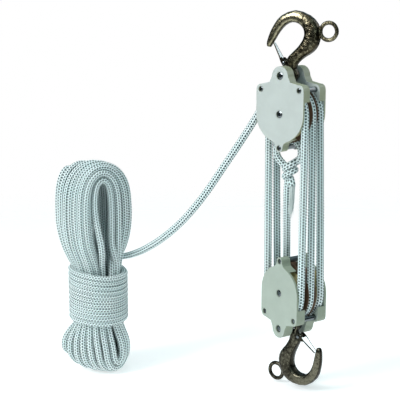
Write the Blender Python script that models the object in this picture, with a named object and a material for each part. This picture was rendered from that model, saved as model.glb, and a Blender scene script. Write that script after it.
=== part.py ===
"""Rope hoist: two three-sheave blocks with latched hooks, reeved with braided rope.

Frame, in metres: the origin is the saddle of the upper hook, the spot a beam,
ring or branch bears on. +Z is up. The upper block's cases are parallel to XZ
and its front face looks along -Y. The lower block is the same block turned
upside down and twisted a little about the vertical, as the falls let it hang.

Each block is built once in its own frame, with the axle at the origin, the
hook side up and the front face towards -Y, and then placed with a matrix.
"""
import math

import bmesh
import bpy
import numpy as np
from mathutils import Matrix, Vector

MM = 0.001
GAP = 0.3 * MM                    # clearance between neighbouring pieces

# rope
ROPE_R = 4.0 * MM                 # 8 mm braided rope
ROPE_CAD_R = 3.65 * MM            # plain runs
ROPE_ARC_R = 3.6 * MM             # runs seated in a groove
PITCH_R = 28.7 * MM               # rope centre line on a sheave

# block
CASE_T = 12.0 * MM                # thickness of one moulded case
CASE_GAP = 19.0 * MM              # open middle between the two cases
PLATE_T = 2.5 * MM                # face of a case
CASE_R = 31.0 * MM                # round body of a case
FACE = CASE_T + CASE_GAP / 2      # outer face, from the mid-plane
INNER = CASE_GAP / 2              # inner edge, from the mid-plane
RIM_IN_R = 29.1 * MM              # inside of the rim below the axle
CROWN_IN_R = 33.0 * MM            # inside of the crown, over the rope
SIDE_TOP = 14.0 * MM              # rope opening in each side, above the axle
SIDE_LOW = -27.0 * MM             # and below it
PIN_Z = 41.4 * MM                 # hook pin above the axle
EAR_R = 10.3 * MM
SHOULDER = (13.6 * MM, 34.6 * MM)  # where an ear meets the crown
LOBE = (25.0 * MM, 26.5 * MM)     # corner tie
LOBE_R = 5.8 * MM
TAB_Z = -36.7 * MM                # tie at the tab
TAB_R = 4.6 * MM

# sheaves
SHEAVE_OFFSET = 14.2 * MM         # outer sheaves, from the mid-plane
SHEAVE_HALF = 4.5 * MM
SHEAVE_R = 28.8 * MM
MID_HALF = 5.6 * MM
MID_R = 32.4 * MM
HUB_R = 9.0 * MM
SLEEVE_R = 5.5 * MM               # axle sleeve
AXLE_R = 3.2 * MM

# ties, pins and their heads
TIE_R = 1.6 * MM
SPACER_R = 3.2 * MM
HEAD_R = 2.6 * MM
HEAD_H = 1.3 * MM
RECESS_R = 3.1 * MM
RECESS_D = 2.0 * MM
AXLE_RECESS_D = 1.4 * MM
PIN_R = 3.0 * MM
PIN_HEAD_R = 3.9 * MM
PIN_RECESS_R = 4.3 * MM
PIN_SLEEVE_R = 5.0 * MM

# hook, measured from its pin
SADDLE = 57.5 * MM                # pin to saddle
EYE_R = 8.5 * MM
EYE_HALF = 4.0 * MM
EYE_HOLE_R = 4.45 * MM
RING = (42.0 * MM, 47.0 * MM)     # small eye on the back of the hook
RING_R = 9.2 * MM
RING_WIRE_R = 2.4 * MM
LATCH_PIVOT = (-6.8 * MM, 12.9 * MM)
LATCH_LEN = 26.0 * MM
LATCH_DIR = math.radians(121.0)
LATCH_PIN_R = 1.1 * MM

# placing
UPPER_AXLE_Z = -SADDLE - PIN_Z
AXLE_DROP = 201.0 * MM
LOWER_AXLE_Z = UPPER_AXLE_Z - AXLE_DROP
LOWER_PIN_Z = LOWER_AXLE_Z - PIN_Z
LOWER_TWIST = math.radians(-15.0)      # lower block about the vertical
LOWER_DRIFT = Vector((5.0 * MM, 4.2 * MM, 0.0))     # it hangs a little off plumb
UPPER_HOOK_YAW = math.radians(12.0)    # each hook sits loosely on its pin
LOWER_HOOK_YAW = math.radians(14.0)    # from its own block
LOWER_HOOK_TILT = math.radians(21.0)   # the empty hook hangs by its heavy back

# hank of spare rope, standing beside the tackle
HANK = (-0.205, -0.099)
HANK_YAW = math.radians(10.0)
HANK_FLOOR = -0.4138


# ---------------------------------------------------------------- materials
def material(name, rgb, rough, metal=0.0):
    mat = bpy.data.materials.new(name)
    mat.use_nodes = True
    bsdf = mat.node_tree.nodes["Principled BSDF"]
    bsdf.inputs["Base Color"].default_value = (*rgb, 1.0)
    bsdf.inputs["Roughness"].default_value = rough
    bsdf.inputs["Metallic"].default_value = metal
    return mat


PALETTE = {
    "case": ((0.62, 0.66, 0.58), 0.45, 0.0),
    "hook": ((0.30, 0.24, 0.12), 0.42, 0.9),
    "steel": ((0.62, 0.62, 0.60), 0.25, 1.0),
    "latch": ((0.75, 0.75, 0.72), 0.22, 1.0),
    "sheave": ((0.66, 0.62, 0.46), 0.5, 0.0),
    "brown": ((0.20, 0.13, 0.07), 0.5, 0.0),
    "rope": ((0.82, 0.84, 0.82), 0.75, 0.0),
}


# ------------------------------------------------------------ mesh helpers
def make(name, bm, look, place=None):
    """Closed mesh object with its own material, vertices in world metres."""
    if place is not None:
        bmesh.ops.transform(bm, matrix=place, verts=bm.verts)
    bmesh.ops.triangulate(bm, faces=bm.faces)
    bmesh.ops.recalc_face_normals(bm, faces=bm.faces)
    if bm.calc_volume(signed=True) < 0:
        bmesh.ops.reverse_faces(bm, faces=bm.faces)
    mesh = bpy.data.meshes.new(name)
    bm.to_mesh(mesh)
    bm.free()
    obj = bpy.data.objects.new(name, mesh)
    bpy.context.scene.collection.objects.link(obj)
    mesh.materials.append(material(name + "_material", *PALETTE[look]))
    return obj


def loft(rings, closed=False):
    """Closed skin over rings of equal point counts, flat caps at open ends."""
    bm = bmesh.new()
    rows = [[bm.verts.new(p) for p in ring] for ring in rings]
    n = len(rows[0])
    pairs = list(zip(rows, rows[1:])) + ([(rows[-1], rows[0])] if closed else [])
    for a, b in pairs:
        for i in range(n):
            j = (i + 1) % n
            bm.faces.new((a[i], a[j], b[j], b[i]))
    if not closed:
        bm.faces.new(rows[0][::-1])
        bm.faces.new(rows[-1])
    bmesh.ops.recalc_face_normals(bm, faces=bm.faces)
    return bm


def prism(outline, y0, y1):
    """Outline of (x, z) points, drawn out along Y."""
    return loft([[Vector((x, y, z)) for x, z in outline] for y in (y0, y1)])


def circle(cx, cz, r, n=16, start=0.0, sweep=2 * math.pi, end=False):
    count = n + 1 if end else n
    return [(cx + r * math.cos(start + sweep * i / n),
             cz + r * math.sin(start + sweep * i / n)) for i in range(count)]


def revolve(profile, n=16, centre=(0.0, 0.0), closed=True):
    """Turn a profile of (y, r) about an axis along Y."""
    cx, cz = centre
    rings = []
    for y, r in profile:
        rings.append([Vector((x, y, z)) for x, z in circle(cx, cz, r, n)])
    return loft(rings, closed=closed)


def tube(path, radii, sides=10):
    """Closed tube along a path, its sections carried without twist."""
    pts = [Vector(p) for p in path]
    if not hasattr(radii, "__len__"):
        radii = [radii] * len(pts)
    tangents = []
    for i in range(len(pts)):
        a, b = pts[max(i - 1, 0)], pts[min(i + 1, len(pts) - 1)]
        tangents.append((b - a).normalized())
    side = tangents[0].orthogonal().normalized()
    rings = []
    for p, t, r in zip(pts, tangents, radii):
        side = (side - t * side.dot(t)).normalized()
        up = t.cross(side)
        rings.append([p + (side * math.cos(a) + up * math.sin(a)) * r
                      for a in (2 * math.pi * k / sides for k in range(sides))])
    return loft(rings)


def smooth(points, steps):
    """Catmull-Rom curve through rows of numbers."""
    p = np.array([points[0], *points, points[-1]], dtype=float)
    out = []
    for i in range(1, len(p) - 2):
        for s in range(steps):
            t = s / steps
            a, b, c, d = p[i - 1], p[i], p[i + 1], p[i + 2]
            out.append(0.5 * (2 * b + (c - a) * t + (2 * a - 5 * b + 4 * c - d) * t * t
                              + (3 * b - 3 * c + d - a) * t ** 3))
    out.append(p[-2])
    return out


def boolean(base, other, operation):
    """Union or difference of two bmeshes, through the exact solver."""
    objs = []
    for bm in (base, other):
        bmesh.ops.recalc_face_normals(bm, faces=bm.faces)
        mesh = bpy.data.meshes.new("work")
        bm.to_mesh(mesh)
        bm.free()
        obj = bpy.data.objects.new("work", mesh)
        bpy.context.scene.collection.objects.link(obj)
        objs.append(obj)
    objs[1].display_type = "WIRE"
    objs[1].hide_render = True
    mod = objs[0].modifiers.new("cut", "BOOLEAN")
    mod.operation = operation
    mod.solver = "EXACT"
    mod.object = objs[1]
    deps = bpy.context.evaluated_depsgraph_get()
    result = bmesh.new()
    result.from_mesh(objs[0].evaluated_get(deps).to_mesh())
    for obj in objs:
        mesh = obj.data
        bpy.data.objects.remove(obj)
        bpy.data.meshes.remove(mesh)
    bmesh.ops.remove_doubles(result, verts=result.verts, dist=1e-6)
    bmesh.ops.dissolve_degenerate(result, edges=result.edges, dist=1e-6)
    bmesh.ops.dissolve_limit(result, angle_limit=math.radians(0.2),
                             verts=result.verts, edges=result.edges)
    return result


# -------------------------------------------------------------------- case
def case_outline():
    """Face of a case, anticlockwise from the right end of the side opening."""
    lx, lz = LOBE
    sx, sz = SHOULDER
    right = [(CASE_R, SIDE_TOP), (CASE_R, lz - 2 * MM)]
    right += circle(lx, lz, LOBE_R, 4, 0.0, math.radians(97), end=True)
    right += [(sx, sz), (EAR_R + 0.4 * MM, PIN_Z - 1 * MM)]
    left = [(-x, z) for x, z in right[::-1]]
    ear = circle(0, PIN_Z, EAR_R, 8, math.radians(12), math.radians(156), end=True)
    return right + ear + left


def body_arc(angle_from, angle_to, n, r=CASE_R):
    return circle(0, 0, r, n, angle_from, angle_to - angle_from, end=True)


def tab_points():
    """Left side, end and right side of the tab below the round body."""
    neck = [(-9.5 * MM, -29.6 * MM), (-6.2 * MM, -31.6 * MM), (-4.9 * MM, -34.4 * MM)]
    end = circle(0, TAB_Z, TAB_R, 6, math.radians(180), math.radians(180), end=True)
    return neck + end + [(-x, z) for x, z in neck[::-1]]


def moulded_case(front, place, name):
    """One moulded case: face, crown with its ear, lower rim with its tab."""
    face, plate = -FACE, -FACE + PLATE_T
    side_angle = math.asin(SIDE_LOW / CASE_R)
    tab_angle = math.radians(-107.8)

    full = case_outline()
    full += body_arc(math.pi, math.pi + (math.pi + tab_angle), 7)[:-1]
    full += tab_points()
    full += body_arc(-math.pi - tab_angle, 0.0, 7)[1:]
    body = prism(full, face, plate)

    crown = case_outline()
    half = math.asin(SIDE_TOP / CROWN_IN_R)
    crown += body_arc(math.pi - half, half, 14, CROWN_IN_R)
    body = boolean(body, prism(crown, plate - 0.6 * MM, -INNER), "UNION")

    rim = body_arc(math.pi - side_angle, math.pi + (math.pi + tab_angle), 5)[:-1]
    rim += tab_points()
    rim += body_arc(-math.pi - tab_angle, side_angle, 5)[1:]
    inner = math.asin((SIDE_LOW + 1.2 * MM) / RIM_IN_R)
    rim += body_arc(inner, -math.pi - inner, 14, RIM_IN_R)
    body = boolean(body, prism(rim, plate - 0.6 * MM, -INNER), "UNION")

    holes = [(0.0, 0.0, AXLE_R + 0.1 * MM, RECESS_R + 1.0 * MM, AXLE_RECESS_D),
             (0.0, PIN_Z, PIN_R + 0.1 * MM, PIN_RECESS_R, RECESS_D),
             (0.0, TAB_Z, TIE_R + 0.1 * MM, RECESS_R, RECESS_D),
             (LOBE[0], LOBE[1], TIE_R + 0.1 * MM, RECESS_R, RECESS_D),
             (-LOBE[0], LOBE[1], TIE_R + 0.1 * MM, RECESS_R, RECESS_D)]
    for x, z, r, r_head, depth in holes:
        cut = revolve([(face - 1 * MM, r_head), (face + depth, r_head),
                       (face + depth, r), (-INNER + 1 * MM, r)],
                      12, (x, z), closed=False)
        body = boolean(body, cut, "DIFFERENCE")
    if not front:
        bmesh.ops.scale(body, vec=(1, -1, 1), verts=body.verts)
        bmesh.ops.reverse_faces(body, faces=body.faces)
    return make(name, body, "case", place)


# ------------------------------------------------------------------ sheave
def sheave(offset, half, rim_r, hub_half, look, place, name):
    """Grooved wheel about an axle along Y."""
    groove = []
    top = min(rim_r, PITCH_R)
    reach = math.acos((PITCH_R - top) / ROPE_R) if rim_r < PITCH_R else math.pi / 2
    if rim_r > PITCH_R + 1 * MM:
        groove.append((-half + 0.7 * MM, rim_r))
    for i in range(6):
        a = -reach + 2 * reach * i / 5
        groove.append((ROPE_R * math.sin(a), PITCH_R - ROPE_R * math.cos(a)))
    if rim_r > PITCH_R + 1 * MM:
        groove.append((half - 0.7 * MM, rim_r))
    bore = SLEEVE_R + 0.1 * MM
    profile = [(-half, rim_r)] + groove + [
        (half, rim_r), (half, HUB_R), (hub_half, HUB_R), (hub_half, bore),
        (-hub_half, bore), (-hub_half, HUB_R), (-half, HUB_R)]
    profile = [(y + offset, r) for y, r in profile]
    return make(name, revolve(profile, 28), look, place)


def headed_pin(x, z, r, r_head, recess, place, name, n=12):
    """Pin or rivet through both cases with a head in each outer recess."""
    seat = FACE - recess
    crown = seat + HEAD_H
    profile = [(-crown, r_head * 0.55), (-crown + 0.5 * MM, r_head), (-seat, r_head),
               (-seat, r), (seat, r), (seat, r_head), (crown - 0.5 * MM, r_head),
               (crown, r_head * 0.55)]
    return make(name, revolve(profile, n, (x, z), closed=False), "steel", place)


def sleeve(x, z, r_out, r_in, y0, y1, place, name, n=14):
    profile = [(y0, r_out), (y1, r_out), (y1, r_in), (y0, r_in)]
    return make(name, revolve(profile, n, (x, z)), "steel", place)


def block(prefix, place):
    """Cases, sheaves, axle, ties and hook pin of one block."""
    moulded_case(True, place, prefix + "_front_case")
    moulded_case(False, place, prefix + "_rear_case")
    sheave(-SHEAVE_OFFSET, SHEAVE_HALF, SHEAVE_R, SHEAVE_HALF, "sheave", place,
           prefix + "_front_sheave")
    sheave(0.0, MID_HALF, MID_R, SHEAVE_OFFSET - SHEAVE_HALF - GAP, "brown", place,
           prefix + "_middle_sheave")
    sheave(SHEAVE_OFFSET, SHEAVE_HALF, SHEAVE_R, SHEAVE_HALF, "sheave", place,
           prefix + "_rear_sheave")
    inside = FACE - PLATE_T
    sleeve(0, 0, SLEEVE_R, AXLE_R + 0.1 * MM, -inside + 0.1 * MM, inside - 0.1 * MM,
           place, prefix + "_axle_sleeve", 20)
    headed_pin(0, 0, AXLE_R, RECESS_R + 0.6 * MM, AXLE_RECESS_D, place,
               prefix + "_axle_pin")
    for side, x, z in (("left", -LOBE[0], LOBE[1]), ("right", LOBE[0], LOBE[1]),
                       ("tab", 0.0, TAB_Z)):
        headed_pin(x, z, TIE_R, HEAD_R, RECESS_D, place, f"{prefix}_{side}_tie_rivet")
        sleeve(x, z, SPACER_R, TIE_R + 0.1 * MM, -INNER + 0.1 * MM, INNER - 0.1 * MM,
               place, f"{prefix}_{side}_spacer")
    headed_pin(0, PIN_Z, PIN_R, PIN_HEAD_R, RECESS_D, place, prefix + "_hook_pin")
    near = EYE_HALF + 1.4 * MM
    sleeve(0, PIN_Z, PIN_SLEEVE_R, PIN_R + 0.1 * MM, -INNER + 0.1 * MM, -near, place,
           prefix + "_front_pin_sleeve")
    sleeve(0, PIN_Z, PIN_SLEEVE_R, PIN_R + 0.1 * MM, near, INNER - 0.1 * MM, place,
           prefix + "_rear_pin_sleeve")


# -------------------------------------------------------------------- hook
# (inner x, inner z, outer x, outer z, thickness) in mm, from the eye to the tip
HOOK_STATIONS = [
    (-5.2, 4.0, 5.4, 3.4, 8.0),
    (-4.9, 10.5, 6.2, 8.6, 9.6),
    (-4.5, 18.4, 9.0, 13.8, 11.4),
    (1.2, 24.3, 16.6, 19.8, 13.2),
    (7.3, 30.1, 24.6, 24.6, 14.6),
    (12.7, 36.9, 31.0, 32.4, 15.4),
    (15.0, 44.0, 32.6, 44.0, 15.6),
    (13.5, 50.0, 30.0, 55.0, 15.0),
    (8.6, 54.7, 20.6, 64.2, 14.2),
    (0.4, 56.6, 4.0, 69.6, 13.0),
    (-7.9, 52.9, -11.8, 64.2, 11.4),
    (-13.4, 47.0, -20.0, 55.2, 10.0),
    (-17.4, 41.0, -25.6, 45.3, 8.8),
    (-22.0, 33.8, -29.2, 35.0, 7.4),
    (-24.4, 29.8, -29.0, 30.6, 4.8),
]


def hook(place, name):
    rings = []
    for ix, iz, ox, oz, thick in smooth(HOOK_STATIONS, 2):
        inner, outer = Vector((ix, 0, iz)) * MM, Vector((ox, 0, oz)) * MM
        mid, half = (inner + outer) / 2, (inner - outer) / 2
        ring = []
        for k in range(12):
            a = 2 * math.pi * k / 12
            c, s = math.cos(a), math.sin(a)
            c, s = math.copysign(abs(c) ** 0.72, c), math.copysign(abs(s) ** 0.72, s)
            ring.append(mid + half * c + Vector((0, s * thick * MM / 2, 0)))
        rings.append(ring)
    body = loft(rings)
    eye = revolve([(-EYE_HALF, EYE_R - 1 * MM), (-EYE_HALF + 1 * MM, EYE_R),
                   (EYE_HALF - 1 * MM, EYE_R), (EYE_HALF, EYE_R - 1 * MM)], 24, closed=False)
    body = boolean(body, eye, "UNION")
    wire = [[Vector((RING[0] + (RING_R + RING_WIRE_R * math.cos(b)) * math.cos(a),
                     RING_WIRE_R * math.sin(b),
                     RING[1] + (RING_R + RING_WIRE_R * math.cos(b)) * math.sin(a)))
             for b in (2 * math.pi * k / 8 for k in range(8))]
            for a in (2 * math.pi * k / 24 for k in range(24))]
    body = boolean(body, loft(wire, closed=True), "UNION")
    px, pz = LATCH_PIVOT
    lug = prism([(px + 4.5 * MM, pz - 3.4 * MM)] + circle(px, pz, 3.0 * MM, 8,
                math.radians(270), math.radians(-180), end=True)
                + [(px + 4.5 * MM, pz + 3.2 * MM)], -1.8 * MM, 1.8 * MM)
    body = boolean(body, lug, "UNION")
    pin_hole = revolve([(-0.02, EYE_HOLE_R), (0.02, EYE_HOLE_R)], 18, closed=False)
    body = boolean(body, pin_hole, "DIFFERENCE")
    latch_hole = revolve([(-0.01, LATCH_PIN_R + 0.1 * MM), (0.01, LATCH_PIN_R + 0.1 * MM)],
                         10, LATCH_PIVOT, closed=False)
    body = boolean(body, latch_hole, "DIFFERENCE")
    return make(name, body, "hook", place)


def latch(place, name):
    """Pressed strip with two cheeks round the lug, straight out to the tip."""
    px, pz = LATCH_PIVOT
    d = Vector((math.cos(LATCH_DIR), 0, math.sin(LATCH_DIR)))
    n = Vector((-d.z, 0, d.x))           # outward, away from the bowl
    base = Vector((px, 0, pz))
    thick = 1.0 * MM

    def at(along, out):
        p = base + d * along + n * out
        return p.x, p.z

    cheek = [at(-2.9 * MM, 1.2 * MM), at(-2.9 * MM, -1.2 * MM), at(-1.2 * MM, -2.9 * MM),
             at(1.4 * MM, -2.9 * MM), at(7.0 * MM, -0.6 * MM), at(8.0 * MM, 1.8 * MM),
             at(3.0 * MM, 2.6 * MM), at(-1.6 * MM, 2.6 * MM)]
    body = prism(cheek, -5.4 * MM, -4.5 * MM)
    strip = []                           # along, inner face, half width
    for along, inner, half in ((4.4 * MM, 1.2 * MM, 5.0 * MM), (8.0 * MM, 0.8 * MM, 5.0 * MM),
                               (LATCH_LEN, 0.0, 2.4 * MM)):
        (x0, z0), (x1, z1) = at(along, inner), at(along, inner + thick)
        strip.append([Vector((x0, -half, z0)), Vector((x0, half, z0)),
                      Vector((x1, half, z1)), Vector((x1, -half, z1))])
    body = boolean(body, loft(strip), "UNION")
    body = boolean(body, prism(cheek, 4.5 * MM, 5.4 * MM), "UNION")
    hole = revolve([(-0.01, LATCH_PIN_R + 0.1 * MM), (0.01, LATCH_PIN_R + 0.1 * MM)],
                   10, LATCH_PIVOT, closed=False)
    body = boolean(body, hole, "DIFFERENCE")
    return make(name, body, "latch", place)


def latch_spring(place, name):
    """Torsion coil beside the lug, one leg on the strip, one on the neck."""
    px, pz = LATCH_PIVOT
    wire, coil = 0.4 * MM, 1.9 * MM
    d = LATCH_DIR
    path = []
    end = Vector((px, 0, pz)) + Vector((math.cos(d), 0, math.sin(d))) * 7.5 * MM
    turns, steps = 1.7, 17
    for i in range(steps + 1):
        a = d - math.pi / 2 + 2 * math.pi * turns * i / steps
        y = -4.0 * MM + (0.95 * MM * turns) * i / steps
        path.append(Vector((px + coil * math.cos(a), y, pz + coil * math.sin(a))))
    path.insert(0, Vector((end.x, -4.0 * MM, end.z))
                + Vector((math.sin(d), 0, -math.cos(d))) * 0.4 * MM)
    return make(name, tube(path, wire, 6), "steel", place)


def hook_set(prefix, place):
    hook(place, prefix + "_hook")
    latch(place, prefix + "_latch")
    latch_spring(place, prefix + "_latch_spring")
    px, pz = LATCH_PIVOT
    profile = [(-6.5 * MM, 1.0 * MM), (-6.2 * MM, 1.9 * MM), (-5.5 * MM, 1.9 * MM),
               (-5.5 * MM, LATCH_PIN_R), (5.5 * MM, LATCH_PIN_R), (5.5 * MM, 1.9 * MM),
               (6.2 * MM, 1.9 * MM), (6.5 * MM, 1.0 * MM)]
    make(prefix + "_latch_pin", revolve(profile, 10, (px, pz), closed=False), "steel", place)


# -------------------------------------------------------------------- rope
def arc_path(place, offset, start, end, n=16):
    """Rope centre line round a sheave, angles from the block's +X."""
    out = []
    for i in range(n + 1):
        a = start + (end - start) * i / n
        out.append(place @ Vector((PITCH_R * math.cos(a), offset, PITCH_R * math.sin(a))))
    return out


def fall(top, bottom, name, via=()):
    """Straight run of rope between two blocks, just clear of the arcs."""
    a, b = top.copy(), bottom.copy()
    a.z -= 2 * GAP
    b.z += 2 * GAP
    return make(name, tube([a, *via, b], ROPE_CAD_R, 12), "rope")


def rope(upper, lower):
    """Falls and arcs of the reeving, from the free end to the becket."""
    left, right = math.pi, 0.0
    offsets = {"front": -SHEAVE_OFFSET, "middle": 0.0, "rear": SHEAVE_OFFSET}

    def up(which, a):
        return upper @ Vector((PITCH_R * math.cos(a), offsets[which], 0))

    def low(which, a):            # the lower block is upside down: mirror left and right
        return lower @ Vector((-PITCH_R * math.cos(a), offsets[which], 0))

    lead_off = math.radians(153.0)
    make("rope_arc_upper_front", tube(arc_path(upper, offsets["front"], 0.0, lead_off - 0.03),
                                      ROPE_ARC_R, 8), "rope")
    for which in ("middle", "rear"):
        make("rope_arc_upper_" + which, tube(arc_path(upper, offsets[which], 0.0, math.pi),
                                             ROPE_ARC_R, 8), "rope")
    for which in ("front", "middle", "rear"):
        make("rope_arc_lower_" + which, tube(arc_path(lower, offsets[which], 0.0, math.pi),
                                             ROPE_ARC_R, 8), "rope")

    fall(up("front", right), low("front", right), "rope_fall_1")
    fall(up("middle", left), low("front", left), "rope_fall_2")
    fall(up("middle", right), low("middle", right), "rope_fall_3")
    fall(up("rear", left), low("middle", left), "rope_fall_4")
    fall(up("rear", right), low("rear", right), "rope_fall_5")
    foot = low("rear", left)
    top = upper @ Vector((-3.5 * MM, 1.0 * MM, -77.0 * MM))
    fall(top, foot, "rope_fall_6_becket",
         via=[foot + Vector((1.3 * MM, -2.2 * MM, 36 * MM)),
              foot + Vector((0.4 * MM, -0.6 * MM, 20 * MM))])

    # loop over the tab spacer, knot and loose tail, in the upper block's frame, mm
    loop = [(-3, -1, -63), (-9, -3, -55.5), (-15.5, -4, -47.5), (-16.2, -2.6, -39.5),
            (-11.5, -0.6, -32.6), (-5.5, 0, -29.7), (0, 0, -29.4), (5.5, 0, -29.7),
            (11.5, 0, -32.2), (15.2, 0, -39), (13.8, 0, -48), (9, 0, -56), (4, 0, -63)]
    knot = tube([upper @ (Vector(p) * MM) for p in smooth(loop, 2)], 3.6 * MM, 10)
    bulk = [(0.5, -54.6, 2.5), (0.5, -57.5, 6.6), (0.8, -62, 8.9), (1, -66, 9.2),
            (0.8, -70, 8.4), (0.5, -73.6, 6.0), (0.5, -75.8, 2.6)]
    rings = [[upper @ (Vector((x + r * math.cos(a), 0.85 * r * math.sin(a), z)) * MM)
              for a in (2 * math.pi * k / 14 for k in range(14))] for x, z, r in bulk]
    knot = boolean(knot, loft(rings), "UNION")
    tail = [(3.2, -2.2, -70, 3.0), (5.2, -2.6, -80, 3.4), (5.6, -2.6, -92, 2.8),
            (5.0, -2.4, -105, 2.0), (4.4, -2.2, -117, 1.1)]
    knot = boolean(knot, tube([upper @ (Vector(p[:3]) * MM) for p in tail],
                              [p[3] * MM for p in tail], 8), "UNION")
    make("becket_knot", knot, "rope")

    # lead from the upper front sheave down to the hank, by hand, mm
    start = upper @ Vector((PITCH_R * math.cos(lead_off), offsets["front"],
                            PITCH_R * math.sin(lead_off)))
    lead = [tuple(start / MM), (-31.0, -14.3, -96.6), (-43.0, -18.5, -117.5),
            (-69.0, -29.0, -160.0), (-96.0, -38.5, -201.0), (-124.0, -47.5, -234.0),
            (-155.0, -58.5, -260.0), (-183.0, -68.5, -274.5)]
    make("rope_lead", tube([Vector(p) * MM for p in smooth(lead, 3)], ROPE_ARC_R, 10), "rope")


def hank():
    """Spare rope, coiled, with its end wrapped round the waist."""
    # (height, half length along the coil's axis, half width across it) in mm, squareness
    rows = [(0, 18, 12, 0.7), (6, 30, 22, 0.6), (18, 37, 30, 0.55), (36, 38, 32, 0.55),
            (52, 33, 30, 0.6), (61, 27, 26, 0.7), (61.4, 31.5, 30, 0.75),
            (121, 31.5, 30, 0.75), (121.4, 27, 26, 0.7), (150, 32, 30, 0.6),
            (180, 35.5, 34, 0.5), (212, 35.5, 35, 0.5), (232, 31, 30, 0.55),
            (246, 21, 20, 0.65), (253, 8, 9, 0.8)]
    place = (Matrix.Translation((HANK[0], HANK[1], HANK_FLOOR))
             @ Matrix.Rotation(HANK_YAW, 4, "Z"))
    rings = []
    for z, a, b, power in rows:
        ring = []
        for k in range(20):
            t = 2 * math.pi * k / 20
            c, s = math.cos(t), math.sin(t)
            c, s = math.copysign(abs(c) ** power, c), math.copysign(abs(s) ** power, s)
            ring.append(place @ (Vector((a * c, b * s, z)) * MM))
        rings.append(ring)
    make("rope_hank", loft(rings), "rope")


# ------------------------------------------------------------------- build
def main():
    for obj in list(bpy.data.objects):
        bpy.data.objects.remove(obj)

    flip = Matrix.Rotation(math.pi, 4, "Y")
    twist = Matrix.Rotation(LOWER_TWIST, 4, "Z")
    upper = Matrix.Translation((0, 0, UPPER_AXLE_Z))
    lower = Matrix.Translation(LOWER_DRIFT + Vector((0, 0, LOWER_AXLE_Z))) @ twist @ flip
    block("upper", upper)
    block("lower", lower)

    upper_hook = (Matrix.Translation((0, 0, -SADDLE))
                  @ Matrix.Rotation(UPPER_HOOK_YAW, 4, "Z"))
    lower_hook = (Matrix.Translation(LOWER_DRIFT + Vector((0, 0, LOWER_PIN_Z))) @ twist
                  @ Matrix.Rotation(LOWER_HOOK_YAW, 4, "Z") @ flip
                  @ Matrix.Rotation(-LOWER_HOOK_TILT, 4, "Y"))
    hook_set("upper", upper_hook)
    hook_set("lower", lower_hook)

    rope(upper, lower)
    hank()


main()
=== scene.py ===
"""Rope block and tackle hoist: looks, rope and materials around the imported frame."""
import math

import bpy
import numpy as np
from mathutils import Matrix, Vector, noise


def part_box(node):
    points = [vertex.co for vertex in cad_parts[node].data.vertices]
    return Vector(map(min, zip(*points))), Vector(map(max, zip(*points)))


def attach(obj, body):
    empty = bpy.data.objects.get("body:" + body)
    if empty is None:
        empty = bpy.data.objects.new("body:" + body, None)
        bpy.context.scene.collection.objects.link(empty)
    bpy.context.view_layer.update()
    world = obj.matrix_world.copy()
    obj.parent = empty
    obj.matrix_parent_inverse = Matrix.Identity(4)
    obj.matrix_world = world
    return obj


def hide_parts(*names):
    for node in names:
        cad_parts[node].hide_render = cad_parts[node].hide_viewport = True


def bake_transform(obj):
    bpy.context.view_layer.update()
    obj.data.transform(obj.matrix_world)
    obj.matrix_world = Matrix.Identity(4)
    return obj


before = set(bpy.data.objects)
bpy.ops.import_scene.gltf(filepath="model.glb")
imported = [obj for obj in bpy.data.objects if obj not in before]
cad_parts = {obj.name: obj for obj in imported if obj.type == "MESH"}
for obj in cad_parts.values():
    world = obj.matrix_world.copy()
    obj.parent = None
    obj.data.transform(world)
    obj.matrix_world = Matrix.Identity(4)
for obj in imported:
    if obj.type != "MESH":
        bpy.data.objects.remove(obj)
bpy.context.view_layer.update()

MM = 0.001
TAU = 2 * math.pi

# ------------------------------------------------------- the frame's own sizes
PITCH_R = 28.7 * MM                  # rope centre line on a sheave
SHEAVE_OFFSET = 14.2 * MM
UPPER_AXLE_Z = -98.9 * MM
LOWER_AXLE_Z = -299.9 * MM
LOWER_PIN_Z = -341.3 * MM
SADDLE = 57.5 * MM
LOWER_TWIST = math.radians(-15)
LOWER_DRIFT = Vector((5.0 * MM, 4.2 * MM, 0))
UPPER_HOOK_YAW = math.radians(12)
LOWER_HOOK_YAW = math.radians(14)
LOWER_HOOK_TILT = math.radians(21)
FLIP = Matrix.Rotation(math.pi, 4, "Y")
UPPER = Matrix.Translation((0, 0, UPPER_AXLE_Z))
LOWER = (Matrix.Translation(LOWER_DRIFT + Vector((0, 0, LOWER_AXLE_Z)))
         @ Matrix.Rotation(LOWER_TWIST, 4, "Z") @ FLIP)
UPPER_HOOK = Matrix.Translation((0, 0, -SADDLE)) @ Matrix.Rotation(UPPER_HOOK_YAW, 4, "Z")
LOWER_HOOK = (Matrix.Translation(LOWER_DRIFT + Vector((0, 0, LOWER_PIN_Z)))
              @ Matrix.Rotation(LOWER_TWIST + LOWER_HOOK_YAW, 4, "Z") @ FLIP
              @ Matrix.Rotation(-LOWER_HOOK_TILT, 4, "Y"))
HOOKS = {"upper": UPPER_HOOK, "lower": LOWER_HOOK}
LATCH_PIVOT = (-6.8 * MM, 12.9 * MM)
LATCH_DIR = math.radians(121)
LATCH_TAPER = (8.0 * MM, 26.0 * MM)  # distances from the pivot between which it narrows
LATCH_HALF = (5.0 * MM, 2.4 * MM)    # half widths there
BACK_LEAN = 0.35                     # slope of the hook's dark, scaly back in its frame
BACK_FROM, BACK_OVER = -22 * MM, 26 * MM

# rope
ROPE_R = 4.0 * MM                    # as it runs, stretched a little
HANK_R = 3.5 * MM                    # slack in the coil
COLUMNS = 8                          # rows of stitches round the rope
STITCH = 3.2 * MM                    # length of one stitch
LEAD_SPLIT = math.radians(118)       # where the reeved rope meets the lead, inside the case
LEAD_OFF = math.radians(153)         # where the lead leaves its sheave

# camera
CAMERA_AT = (0.6123, -0.8844, -0.0023)
CAMERA_DOWN = math.radians(10.24)
CAMERA_TURN = math.radians(40)
CAMERA_LENS, SENSOR = 87.9, 36.0     # mm

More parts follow.
